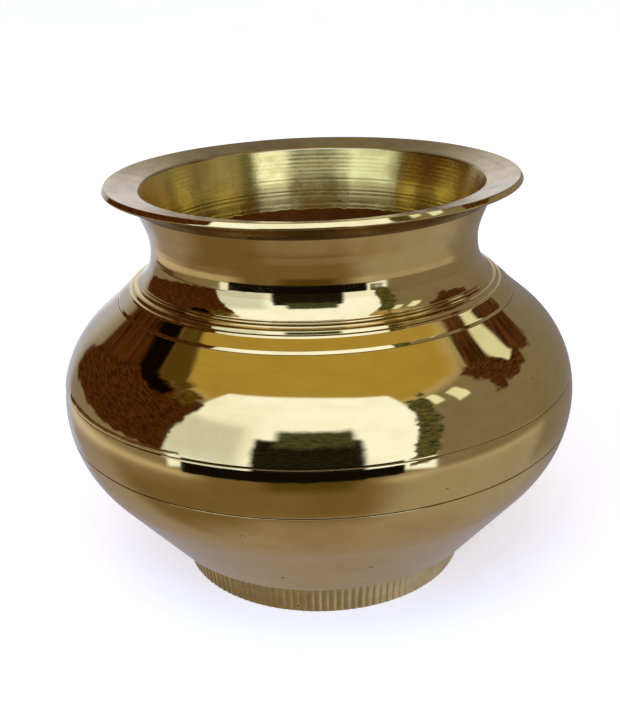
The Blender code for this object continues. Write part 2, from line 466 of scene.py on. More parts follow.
@dataclass
class RimNeckCollar(TurnedPiece):
    """Rim, machined mouth and neck, down to the lip that laps over the shoulder.

    The bevel and undercut are distances in from the rim and down from its top. The
    underside and the buffed neck end at heights. The lines are distances up the shoulder
    from the bead, with each one's depth and width.
    """

    height: float = 99.485
    rim_radius: float = 50.0
    mouth_radius: float = 41.4
    mouth_corner: float = 0.8
    bevel: Point = (0.75, 1.25)
    undercut: Point = (0.6, 1.6)
    dish: float = 1.7
    throat: Point = (43.4, 96.4)
    waist: Point = (39.2, 85.7)
    neck_foot: Point = (40.4, 78.0)
    bead: float = 13.5
    underside_end: float = 94.2
    buffed_end: float = 80.8
    bore_radius: float = 38.0
    bore_foot: float = 81.7
    bore_flare: Point = (0.6, 7.0)
    cut_pitch: float = 1.1
    cut_depth: float = 0.022
    lines: tuple[tuple[float, float, float], ...] = ((0.75, 0.30, 0.13), (1.9, 0.10, 0.09), (2.6, 0.08, 0.09))

    def runs(self) -> list[tuple[Zone, list[Point]]]:
        """Rim top, neck with its bead and band, rough inside, and bore."""
        mouth = (self.mouth_radius, self.height - self.dish)
        bevel_radius = self.rim_radius - self.bevel[0]
        flange = ((self.mouth_radius + bevel_radius) / 2.0, self.height - self.dish / 2.0)
        foot = (self.bore_radius, self.bore_foot)
        bend = (foot[0] + self.bore_flare[0], foot[1] + self.bore_flare[1], 25.0)
        bore = rounded([foot, bend, (*mouth, self.mouth_corner), flange], 3.0)
        rim = rounded([flange, *self.rim_corners(), *self.shoulder_corners()], 6.0)
        turn_out = first_index(bore, lambda point: point[1] > mouth[1] - 1.2)
        edge = first_index(rim, lambda point: point[0] > bevel_radius)
        lower_edge = first_index(rim, lambda point: point[1] < self.height - self.undercut[1] + 0.4)
        throat = first_index(rim, lambda point: point[1] < self.underside_end)
        buffed = first_index(rim, lambda point: point[1] < self.buffed_end)
        grooves = [
            Groove(self.belly.shoulder(0.3, self.bead + up)[1], depth, width)
            for up, depth, width in self.lines
        ]
        return [
            (Zone.TOP, dense(bore[turn_out:] + rim[:edge + 1], 0.45)),
            (Zone.POLISHED, dense(rim[edge:lower_edge + 1], 0.45)),
            (Zone.UNDERSIDE, dense(rim[lower_edge:throat + 1], 0.45)),
            (Zone.NECK, dense(rim[throat:buffed + 1], 0.45)),
            (Zone.POLISHED, grooved(dense(rim[buffed:], 0.45), grooves)),
            (Zone.RAW, dense(self.inside(), 1.5)),
            (Zone.BORE, self.cut(bore[:turn_out + 1])),
        ]

    def rim_corners(self) -> list[tuple]:
        """Corners of the rim's edge and the neck, each with its radius."""
        return [
            (self.rim_radius - self.bevel[0], self.height, 0.25),
            (self.rim_radius, self.height - self.bevel[1], 0.4),
            (self.rim_radius - self.undercut[0], self.height - self.undercut[1], 0.35),
            (*self.throat, 5.0),
            (*self.waist, 15.0),
            (*self.neck_foot, 9.0),
        ]

    def shoulder_corners(self) -> list[tuple]:
        """Corners of the bead and the band below it, down to the lip."""
        belly = self.belly
        band = belly.lip - 0.05
        seam = belly.collar_seam
        return [
            belly.shoulder(0.30, self.bead + 0.75),
            (*belly.shoulder(0.72, self.bead), 0.45),
            (*belly.shoulder(0.34, self.bead - 0.75), 0.15),
            (*belly.shoulder(0.68, self.bead - 1.25), 0.12),
            (*belly.shoulder(band, self.bead - 1.7), 0.25),
            (*belly.shoulder(band, seam + 0.7), 0.25),
            (*belly.shoulder(belly.lap + 0.02, seam), 0.06),
            belly.shoulder(belly.tongue, seam),
        ]

    def inside(self) -> list[Point]:
        """The tongue and the rough inside, up to the bore."""
        belly = self.belly
        tongue_end = belly.collar_seam - belly.tongue_length
        return rounded([
            belly.shoulder(belly.tongue, belly.collar_seam),
            belly.shoulder(belly.tongue, tongue_end),
            belly.shoulder(belly.inside, tongue_end),
            (*belly.shoulder(belly.inside, belly.inner_bend), 4.0),
            (self.bore_radius + 0.4, self.bore_foot - 0.6),
            (self.bore_radius, self.bore_foot),
        ])

    def cut(self, plain: Sequence[Point]) -> list[Point]:
        """Cut the rings that the boring tool leaves.

        Args:
            plain: The bore's plain outline.

        Returns:
            The outline with rings, but with the same ends.
        """
        points = dense(plain, self.cut_pitch / 8.0)
        made = [points[0]]
        for i, (r, z) in enumerate(points[1:-1]):
            deep = 0.5 + noise.noise(Vector((z * 0.7, 9.0, 0.0)))
            broad = 1.5 * noise.noise(Vector((z * 0.8, 3.1, 0.0)))
            made.append((r + self.cut_depth * (deep * math.sin(math.tau * i / 8.0) + broad), z))
        made.append(points[-1])
        return made

    def work(self, build: Mesh) -> None:
        """Break the bore's lower edge, leave chatter marks above it and let the flange waver."""
        for vertex in build.verts:
            r = vertex.co.xy.length / MM
            z = vertex.co.z / MM
            above = z - self.bore_foot
            if -1.5 < above < 6.0 and r < self.bore_radius + 1.0:
                low = max(0.0, 1.0 - abs(above) / 2.2)
                broken = 0.45 * ripple(vertex, 2.4, 1.0) + 0.3 * ripple(vertex, 0.9, 4.0)
                vertex.co.z += MM * low * broken
                angle = math.atan2(vertex.co.y, vertex.co.x)
                chatter = math.sin(angle * 150.0) * max(0.0, ripple(vertex, 9.0, 7.0))
                move_out(vertex, 0.09 * chatter * max(0.0, 1.0 - abs(above - 1.0) / 3.0))
            if r > self.mouth_radius + 1.0 and z > 95.0:
                share = min(1.0, (r - self.mouth_radius - 1.0) / 7.0)
                vertex.co.z -= MM * share * 0.10 * (1.0 + ripple(vertex, 22.0, 2.0))
            if z < 97.0:
                move_out(vertex, 0.02 * ripple(vertex, 16.0, 5.0))


@dataclass
class ShoulderShell(TurnedPiece):
    """Upper half of the belly, from under the collar's lip to the upper seam.

    Its lower edge stands a little proud of the girdle. It is rubbed flush round an
    azimuth, given in radians, and the rubbing fades upwards over a height.
    """

    turns: int = 400
    flush: float = 0.45
    fade: float = 22.0
    pits: tuple[Pit, ...] = (Pit(-72.0, 53.4, 0.5, 0.4), Pit(52.0, 60.0, 0.5, 0.35))

    def runs(self) -> list[tuple[Zone, list[Point]]]:
        """Outside with its rounded lower edge, then the hidden faces."""
        belly = self.belly
        seam = belly.seam_angle(Curve.UPPER)
        rebate_end = seam + belly.degrees(Curve.UPPER, belly.tongue_length + belly.seam_line)
        top = belly.collar_seam - belly.lip_gap
        step = top - belly.tongue_length
        cone = divided(belly.shoulder(belly.lap, top), belly.shoulder(belly.lap, 0.0), 0.7)
        arc = belly.sweep(Curve.UPPER, belly.lap, belly.upper_tilt, seam + 1.0)
        edge = rounded([
            arc[-1],
            (*belly.wall(Curve.UPPER, belly.lap, seam), 0.07),
            belly.wall(Curve.UPPER, belly.rebate, seam),
        ], 22.0)
        hidden = [
            edge[-1],
            belly.wall(Curve.UPPER, belly.rebate, rebate_end),
            *belly.sweep(Curve.UPPER, belly.inside, rebate_end, belly.upper_tilt, 3.0),
            belly.shoulder(belly.inside, step),
            belly.shoulder(belly.rebate, step),
            belly.shoulder(belly.rebate, top),
            cone[0],
        ]
        return [(Zone.POLISHED, cone[:-1] + arc + edge[1:]), (Zone.RAW, hidden)]

    def work(self, build: Mesh) -> None:
        """Rub part of the lower edge flush, and let the surface waver as hand-finished metal does."""
        towards = Vector((math.sin(self.flush), -math.cos(self.flush)))
        for vertex in build.verts:
            facing = max(0.0, 0.25 + vertex.co.xy.normalized().dot(towards))
            low = max(0.0, 1.0 - (vertex.co.z / MM - self.belly.upper_seam) / self.fade)
            step = self.belly.lap * min(1.0, facing * 1.2) * low
            move_out(vertex, waver(vertex) - step)
        sink_pits(build, self.pits, 1)


@dataclass
class BellyGirdle(TurnedPiece):
    """Ring at the widest part, with a tongue above and a rebate below."""

    turns: int = 400
    pits: tuple[Pit, ...] = (
        Pit(60.0, 44.6, 0.5, 0.4), Pit(-66.0, 43.0, 0.6, 0.4), Pit(24.0, 43.8, 0.35, 0.4),
    )

    def runs(self) -> list[tuple[Zone, list[Point]]]:
        """Outside, then the hidden faces."""
        belly = self.belly
        upper = belly.seam_angle(Curve.UPPER) - belly.degrees(Curve.UPPER, belly.seam_line)
        tongue_end = upper + belly.degrees(Curve.UPPER, belly.tongue_length)
        lower = belly.seam_angle(Curve.LOWER)
        rebate_end = lower - belly.degrees(Curve.LOWER, belly.tongue_length + belly.seam_line)
        outside = rounded([
            belly.wall(Curve.UPPER, belly.tongue, upper),
            (*belly.wall(Curve.UPPER, 0.0, upper), 0.05),
            *belly.sweep(Curve.UPPER, 0.0, upper - 1.0, 0.0),
            *belly.sweep(Curve.LOWER, 0.0, 1.0, lower - 1.0),
            (*belly.wall(Curve.LOWER, 0.0, lower), 0.1),
            belly.wall(Curve.LOWER, belly.rebate, lower),
        ], 20.0)
        hidden = [
            outside[-1],
            *belly.sweep(Curve.LOWER, belly.rebate, lower, rebate_end, 3.0)[1:],
            *belly.sweep(Curve.LOWER, belly.inside, rebate_end, 0.0, 3.0),
            *belly.sweep(Curve.UPPER, belly.inside, 0.0, tongue_end, 3.0)[1:],
            *belly.sweep(Curve.UPPER, belly.tongue, tongue_end, upper, 3.0),
        ]
        return [(Zone.POLISHED, outside), (Zone.RAW, hidden)]

    def work(self, build: Mesh) -> None:
        """Let the surface waver, always inward at the widest part."""
        for vertex in build.verts:
            move_out(vertex, waver(vertex) - 0.02)
        sink_pits(build, self.pits, 1)


@dataclass
class LowerBowl(TurnedPiece):
    """Bottom of the pot, from its tongue at the lower seam to the boss inside the foot."""

    turns: int = 400
    floor: float = 11.6
    base: float = 9.6
    boss_drop: float = 1.6
    boss_radius: float = 32.8
    pits: tuple[Pit, ...] = (
        Pit(-16.0, 35.0, 0.7, 0.5), Pit(12.0, 20.5, 0.9, 0.5), Pit(-12.0, 16.5, 0.3, 0.9),
        Pit(47.0, 39.0, 0.5, 0.3), Pit(-40.0, 24.0, 0.35, 0.3),
    )

    def runs(self) -> list[tuple[Zone, list[Point]]]:
        """Inside, tongue, outside and boss."""
        belly = self.belly
        seam = belly.seam_angle(Curve.LOWER) + belly.degrees(Curve.LOWER, belly.wide_seam_line)
        tongue_end = seam - belly.degrees(Curve.LOWER, belly.tongue_length)
        tilt = math.radians(belly.lower_tilt)
        outer_start = belly.wall(Curve.LOWER, 0.0, belly.lower_tilt)
        inner_start = belly.wall(Curve.LOWER, belly.inside, belly.lower_tilt)
        run = (outer_start[1] - self.base) / math.cos(tilt)
        inner_run = (inner_start[1] - self.floor) / math.cos(tilt)
        floor_bend = (*belly.cone(Curve.LOWER, belly.inside, inner_run), 5.0)
        floor = rounded([(0.0, self.floor), floor_bend, inner_start], 10.0)
        inside = dense(floor, 3.0)
        inside.extend(belly.sweep(Curve.LOWER, belly.inside, belly.lower_tilt, tongue_end, 3.0)[1:])
        inside.extend(belly.sweep(Curve.LOWER, belly.tongue, tongue_end, seam, 3.0))
        outside = rounded([
            inside[-1],
            (*belly.wall(Curve.LOWER, 0.0, seam), 0.1),
            *belly.sweep(Curve.LOWER, 0.0, seam + 1.0, belly.lower_tilt),
            (*belly.cone(Curve.LOWER, 0.0, run), 0.5),
            (self.boss_radius, self.base),
        ], 12.0)
        drop = self.base - self.boss_drop
        boss = [*divided((self.boss_radius, self.base), (self.boss_radius, drop), 0.6)]
        boss.extend(divided((self.boss_radius, drop), (0.0, drop), 2.0)[1:])
        return [(Zone.RAW, inside), (Zone.POLISHED, dense(outside, 0.8)), (Zone.RAW, boss)]

    def work(self, build: Mesh) -> None:
        """Let the surface waver and leave a few casting pits."""
        for vertex in build.verts:
            if vertex.co.xy.length > 1.0 * MM:
                move_out(vertex, waver(vertex))
        sink_pits(build, self.pits, 0)


@dataclass
class FootRing(TurnedPiece):
    """Fluted ring that the pot stands on."""

    turns: int = 1024
    height: float = 9.3
    radius: float = 36.0
    top_radius: float = 37.3
    wall: float = 33.1
    flutes: int = 128
    flute_depth: float = 0.36

    def runs(self) -> list[tuple[Zone, list[Point]]]:
        """Outside, bottom, inside wall and top."""
        ring = rounded([
            (self.wall, self.height),
            (self.top_radius, self.height, 0.3),
            (self.radius, 0.0, 0.4),
            (self.wall, 0.0),
            (self.wall, self.height),
        ], 18.0)
        return [(Zone.FOOT, dense(ring, 0.75))]

    def work(self, build: Mesh) -> None:
        """Press uneven flutes into the outside."""
        for vertex in build.verts:
            r = vertex.co.xy.length / MM
            z = vertex.co.z / MM
            if r < self.radius - 0.9:
                continue
            angle = math.atan2(vertex.co.y, vertex.co.x)
            around = Vector((math.cos(angle) * 6.0, math.sin(angle) * 6.0, 0.0))
            shift = 0.35 * noise.noise(around)
            fade = min(1.0, max(0.0, (self.height - 1.2 - z) / 3.0)) * min(1.0, max(0.0, (z + 0.2) / 0.7))
            strength = 0.75 + 0.5 * noise.noise(around * 2.0)
            wave = (0.5 - 0.5 * math.cos(angle * self.flutes + shift)) ** 2
            rough = 0.03 * (1.0 + ripple(vertex, 3.0, 9.0))
            move_out(vertex, -self.flute_depth * fade * strength * wave - rough)


@dataclass
class BrazeBead(TurnedPiece):
    """Bead of braze metal run round the inside of a seam."""

    turns: int = 240
    start: Point = (0.0, 0.0)
    crown: Point = (0.0, 0.0)
    end: Point = (0.0, 0.0)

    def runs(self) -> list[tuple[Zone, list[Point]]]:
        """Three corners, each slightly rounded."""
        corners = [(*self.start, 0.1), (*self.crown, 0.35), (*self.end, 0.1)]
        ring = [corners[-1], *corners, corners[0]]
        points: list[Point] = []
        for before, corner, after in zip(ring, ring[1:], ring[2:]):
            points.extend(fillet(before, corner, after, 25.0))
        points.append(points[0])
        return [(Zone.BRAZE, points)]

    def work(self, build: Mesh) -> None:
        """Make the bead slightly lumpy."""
        for vertex in build.verts:
            vertex.co.z += 0.05 * MM * ripple(vertex, 2.5, 3.0)


# ---------------------------------------------------------------- finishes


class Graph:
    """Short hand for making and joining shader nodes in one tree."""

    def __init__(self, tree: Tree) -> None:
        """Work in a tree."""
        self.tree = tree

    def node(self, kind: str, inputs: dict | None = None, **settings: object) -> Node:
        """Make a node.

        Args:
            kind: The node's type name.
            inputs: Values or output sockets for its inputs, by name or number.
            settings: Attributes of the node.

        Returns:
            The node.
        """
        made = self.tree.nodes.new(kind)
        for key, value in settings.items():
            setattr(made, key, value)
        for key, value in (inputs or {}).items():
            self.feed(made.inputs[key], value)
        return made

    def feed(self, socket: Socket, value: object) -> None:
        """Link a socket to an output, or set its value."""
        if isinstance(value, Socket):
            self.tree.links.new(value, socket)
        else:
            socket.default_value = value

    def math(self, operation: str, one: object, two: object = 0.0, clamp: bool = False) -> Socket:
        """Result of a sum on one or two values."""
        made = self.node("ShaderNodeMath", {0: one, 1: two}, operation=operation, use_clamp=clamp)
        return made.outputs[0]

    def step(
        self, value: object, low: object, high: object, to_low: float = 0.0, to_high: object = 1.0,
    ) -> Socket:
        """Make a smooth step.

        Args:
            value: What is stepped.
            low: Where the step starts.
            high: Where it ends.
            to_low: Result below the step.
            to_high: Result above it.

        Returns:
            The result.
        """
        made = self.node(
            "ShaderNodeMapRange",
            {"Value": value, "From Min": low, "From Max": high, "To Min": to_low, "To Max": to_high},
            interpolation_type="SMOOTHSTEP",
        )
        return made.outputs["Result"]

    def mix(self, factor: object, first: object, second: object) -> Socket:
        """Mix two colours.

        Args:
            factor: Share of the second colour.
            first: A colour or a socket.
            second: A colour or a socket.

        Returns:
            The mixed colour.
        """
        colours = [(*value, 1.0) if isinstance(value, tuple) else value for value in (first, second)]
        made = self.node(
            "ShaderNodeMix", {"Factor": factor, 6: colours[0], 7: colours[1]}, data_type="RGBA",
        )
        return made.outputs[2]

    def noise(self, place: Socket, scale: object, detail: float = 3.0, roughness: float = 0.55) -> Socket:
        """Noise value at a place."""
        inputs = {"Vector": place, "Scale": scale, "Detail": detail, "Roughness": roughness}
        return self.node("ShaderNodeTexNoise", inputs).outputs["Fac"]

    def place(self) -> Socket:
        """The piece's own coordinates."""
        return self.node("ShaderNodeTexCoord").outputs["Object"]

    def group(self, tree: Tree, inputs: dict[str, float]) -> Node:
        """Node that stands for a node group."""
        made = self.node("ShaderNodeGroup", node_tree=tree)
        for key, value in inputs.items():
            self.feed(made.inputs[key], value)
        return made


def new_group(
    name: str, inputs: dict[str, float], outputs: Sequence[str],
) -> tuple[Tree, Graph, dict, dict]:
    """Start a shader node group.

    Args:
        name: The group's name.
        inputs: Its float inputs and their defaults.
        outputs: Its float outputs.

    Returns:
        The tree, its graph, the input sockets by name, and the output sockets by name.
    """
    tree = bpy.data.node_groups.new(name, "ShaderNodeTree")
    for key, value in inputs.items():
        socket = tree.interface.new_socket(key, in_out="INPUT", socket_type="NodeSocketFloat")
        socket.default_value = value
    for key in outputs:
        tree.interface.new_socket(key, in_out="OUTPUT", socket_type="NodeSocketFloat")
    graph = Graph(tree)
    entry = graph.node("NodeGroupInput")
    leave = graph.node("NodeGroupOutput")
    given = {key: entry.outputs[key] for key in inputs}
    out = {key: leave.inputs[key] for key in outputs}
    return tree, graph, given, out


@dataclass
class Effects:
    """Effects that the brass finishes share, each a shader node group."""

    turned: Tree
    clouds: Tree
    specks: Tree


def turned_lines() -> Tree:
    """Group for the fine lines that turning and buffing leave round the pot.

    Returns:
        The group: Pitch in metres in; Height and Streak out.
    """
    tree, graph, given, out = new_group("turned_lines", {"Pitch": 0.0002}, ["Height", "Streak"])
    x, y, z = graph.node("ShaderNodeSeparateXYZ", {0: graph.place()}).outputs
    r = graph.math("SQRT", graph.math("ADD", graph.math("MULTIPLY", x, x), graph.math("MULTIPLY", y, y)))
    up = graph.math("DIVIDE", z, given["Pitch"])
    away = graph.math("DIVIDE", r, given["Pitch"])
    along = graph.math("ADD", up, away)
    across = graph.math("SUBTRACT", up, away)
    turn_x = graph.math("DIVIDE", x, graph.math("ADD", r, 0.0001))
    turn_y = graph.math("DIVIDE", y, graph.math("ADD", r, 0.0001))
    sweep = graph.math("ADD", graph.math("MULTIPLY", turn_x, 2.2), graph.math("MULTIPLY", turn_y, 1.7))
    fine = graph.node("ShaderNodeCombineXYZ", {0: along, 1: across, 2: sweep}).outputs[0]
    graph.feed(out["Height"], graph.noise(fine, 0.5, 4.0, 0.7))
    wide = graph.node("ShaderNodeVectorMath", {0: fine, 1: (0.06, 0.06, 3.0)}, operation="MULTIPLY")
    graph.feed(out["Streak"], graph.noise(wide.outputs[0], 1.0, 3.0))
    return tree


def tarnish_clouds() -> Tree:
    """Group for the soft blotches of tarnish and handling.

    Returns:
        The group: Scale and Share in; Mask and Smudge out.
    """
    tree, graph, given, out = new_group("tarnish_clouds", {"Scale": 40.0, "Share": 0.5}, ["Mask", "Smudge"])
    place = graph.place()
    warped = graph.node("ShaderNodeTexNoise", {"Vector": place, "Scale": 25.0, "Detail": 2.0})
    shift = {0: warped.outputs["Color"], 1: (0.02, 0.02, 0.02), 2: place}
    moved = graph.node("ShaderNodeVectorMath", shift, operation="MULTIPLY_ADD").outputs[0]
    cloud = graph.noise(moved, given["Scale"], 6.0, 0.6)
    limit = graph.math("SUBTRACT", 0.85, graph.math("MULTIPLY", given["Share"], 0.6))
    low = graph.math("SUBTRACT", limit, 0.15)
    high = graph.math("ADD", limit, 0.15)
    graph.feed(out["Mask"], graph.step(cloud, low, high))
    graph.feed(out["Smudge"], graph.noise(moved, 260.0, 5.0, 0.65))
    return tree


def casting_specks_and_pinhole_shade() -> Tree:
    """Group for pinholes and specks left by casting. Their near-black colour is partly the dark specks' own
    and partly painted shade in the pinholes.

    Returns:
        The group: Density (specks a metre) and Share in; Mask and Height out.
    """
    inputs = {"Density": 450.0, "Share": 0.1}
    tree, graph, given, out = new_group("casting_specks_and_pinhole_shade", inputs, ["Mask", "Height"])
    cells = graph.node("ShaderNodeTexVoronoi", {"Vector": graph.place(), "Scale": given["Density"]})
    pick = graph.node("ShaderNodeSeparateColor", {0: cells.outputs["Color"]})
    chosen = graph.math("LESS_THAN", pick.outputs[0], given["Share"])
    size = graph.math("ADD", graph.math("MULTIPLY", pick.outputs[1], 0.12), 0.05)
    dot = graph.step(cells.outputs["Distance"], graph.math("MULTIPLY", size, 0.5), size, 1.0, 0.0)
    mask = graph.math("MULTIPLY", dot, chosen)
    graph.feed(out["Mask"], mask)
    graph.feed(out["Height"], graph.math("SUBTRACT", 1.0, mask))
    return tree


@dataclass(frozen=True)
class Marks:
    """The shared effects, as nodes in one material."""

    lines: Node
    clouds: Node
    specks: Node


@dataclass(frozen=True)
class BrassFinish:
    """How one brass surface is finished.

    The pitch, heights and grain are millimetres. Spread is how much the roughness varies,
    and share is how much of the surface is tarnished. The blend is the two heights
    between which the finish goes over from a mirror polish to its own roughness.
    """

    name: str
    metal: Colour
    tarnish: Colour
    roughness: float
    spread: float
    share: float
    cloud_scale: float
    line_pitch: float
    line_height: float
    speck_share: float
    grain: float = 0.0
    anisotropy: float = 0.0
    blend: tuple[float, float] | None = None

    def build(self, effects: Effects) -> bpy.types.Material:
        """Make the finish's material.

        Args:
            effects: The shared node groups.

        Returns:
            The material.
        """
        material = bpy.data.materials.new(self.name)
        material.use_nodes = True
        graph = Graph(material.node_tree)
        shader = material.node_tree.nodes["Principled BSDF"]
        shader.inputs["Metallic"].default_value = 1.0
        if self.anisotropy:
            shader.inputs["Anisotropic"].default_value = self.anisotropy
            shader.inputs["Anisotropic Rotation"].default_value = 0.25
            tangent = graph.node("ShaderNodeTangent", direction_type="RADIAL", axis="Z")
            graph.feed(shader.inputs["Tangent"], tangent.outputs[0])
        marks = Marks(
            graph.group(effects.turned, {"Pitch": self.line_pitch * MM}),
            graph.group(effects.clouds, {"Scale": self.cloud_scale, "Share": self.share}),
            graph.group(effects.specks, {"Share": self.speck_share}),
        )
        graph.feed(shader.inputs["Base Color"], self.colour(graph, marks))
        graph.feed(shader.inputs["Roughness"], self.gloss(graph, marks))
        graph.feed(shader.inputs["Normal"], self.relief(graph, marks))
        return material

    def colour(self, graph: Graph, marks: Marks) -> Socket:
        """Tarnish the metal in blotches and along the lines, and add near-black specks, which are partly dark
        casting specks and partly painted shade in the pinholes.

        Args:
            graph: The material's nodes.
            marks: The shared effects.

        Returns:
            The colour.
        """
        tint = graph.mix(marks.clouds.outputs["Mask"], self.metal, self.tarnish)
        streak = graph.step(marks.lines.outputs["Streak"], 0.35, 0.7, 0.0, 0.35)
        tint = graph.mix(streak, tint, self.tarnish)
        # Near-black specks: partly dark casting specks, partly painted shade inside the pinholes.
        return graph.mix(marks.specks.outputs["Mask"], tint, (0.03, 0.02, 0.01))

    def gloss(self, graph: Graph, marks: Marks) -> Socket:
        """Vary the roughness with smudges, lines and specks.

        Args:
            graph: The material's nodes.
            marks: The shared effects.

        Returns:
            The roughness.
        """
        smudge = graph.step(marks.clouds.outputs["Smudge"], 0.3, 0.75, -self.spread, self.spread)
        streak = graph.step(marks.lines.outputs["Streak"], 0.3, 0.8, 0.0, self.spread)
        base: object = self.roughness
        if self.blend:
            height = graph.node("ShaderNodeSeparateXYZ", {0: graph.place()}).outputs[2]
            low, high = self.blend
            base = graph.step(height, low * MM, high * MM, MIRROR, self.roughness)
        rough = graph.math("ADD", graph.math("ADD", smudge, streak), base)
        speck = graph.math("MULTIPLY", marks.specks.outputs["Mask"], 0.5)
        return graph.math("ADD", rough, speck, clamp=True)

    def relief(self, graph: Graph, marks: Marks) -> Socket:
        """Raise turned lines, pinholes and grain.

        Args:
            graph: The material's nodes.
            marks: The shared effects.

        Returns:
            The normal.
        """
        layers = [
            (marks.lines.outputs["Height"], self.line_height),
            (marks.specks.outputs["Height"], PINHOLE_DEPTH),
        ]
        if self.grain:
            layers.append((graph.noise(graph.place(), 900.0, 6.0, 0.7), self.grain))
        normal = None
        for height, depth in layers:
            bump = graph.node("ShaderNodeBump", {"Height": height, "Distance": depth * MM})
            if normal:
                graph.feed(bump.inputs["Normal"], normal)
            normal = bump.outputs[0]
        return normal


FINISHES = {
    Zone.POLISHED: BrassFinish(
        "polished_brass", (0.80, 0.57, 0.20), (0.68, 0.44, 0.13), roughness=0.035, spread=0.02, share=0.35,
        cloud_scale=30.0, line_pitch=0.25, line_height=0.001, speck_share=0.004,
    ),
    Zone.NECK: BrassFinish(
        "buffed_brass", (0.76, 0.53, 0.18), (0.62, 0.40, 0.12), roughness=0.13, spread=0.03, share=0.45,
        cloud_scale=40.0, line_pitch=0.2, line_height=0.002, speck_share=0.02, blend=(80.0, 88.0),
    ),
    # Painted shade: the dark metal and tarnish colours here stand in for the shade under the rim's flange.
    # Only the roughness is the metal's own dull finish.
    Zone.UNDERSIDE: BrassFinish(
        "dull_painted_shade_brass", (0.36, 0.23, 0.07), (0.20, 0.12, 0.04), roughness=0.30, spread=0.08, share=0.6,
        cloud_scale=60.0, line_pitch=0.25, line_height=0.008, speck_share=0.04,
    ),
    Zone.TOP: BrassFinish(
        "faced_brass", (0.62, 0.465, 0.195), (0.44, 0.32, 0.15), roughness=0.17, spread=0.06, share=0.5,
        cloud_scale=60.0, line_pitch=0.16, line_height=0.005, speck_share=0.05,
    ),
    Zone.BORE: BrassFinish(
        "bored_brass", (0.90, 0.68, 0.185), (0.66, 0.43, 0.095), roughness=0.23, spread=0.05, share=0.4,
        cloud_scale=50.0, line_pitch=0.35, line_height=0.02, speck_share=0.01, anisotropy=0.97,
    ),
    Zone.RAW: BrassFinish(
        "cast_brass", (0.72, 0.41, 0.10), (0.36, 0.17, 0.04), roughness=0.40, spread=0.12, share=0.5,
        cloud_scale=50.0, line_pitch=0.8, line_height=0.01, speck_share=0.15, grain=0.2,
    ),
    Zone.FOOT: BrassFinish(
        "satin_brass", (0.86, 0.67, 0.31), (0.50, 0.37, 0.17), roughness=0.25, spread=0.08, share=0.35,
        cloud_scale=70.0, line_pitch=0.35, line_height=0.008, speck_share=0.04, grain=0.03,
    ),
    Zone.BRAZE: BrassFinish(
        "braze_metal", (0.72, 0.62, 0.42), (0.35, 0.24, 0.13), roughness=0.42, spread=0.1, share=0.6,
        cloud_scale=80.0, line_pitch=0.6, line_height=0.01, speck_share=0.1, grain=0.12,
    ),
}


# ---------------------------------------------------------------- studio


@dataclass(frozen=True)
class Panel:
    """Panel of the surroundings, between two azimuths and two elevations in degrees.

    An azimuth of 0 is towards the camera and 90 is on the right. The lean moves the
    panel's azimuth with height, in degrees a degree, and the slope moves its elevation
    with azimuth. The bow is how far it droops at its sides.
    """

    left: float
    right: float
    low: float
    high: float
    colour: Colour
    soft: float = 2.0
    lean: float = 0.0
    slope: float = 0.0
    wobble: float = 0.0
    mottle: Colour | None = None
    bow: float = 0.0


@dataclass(frozen=True)
class Sky:
    """What the panels are laid out by: a direction's angles in degrees, and two noises."""

    azimuth: Socket
    elevation: Socket
    blur: Socket
    speckle: Socket


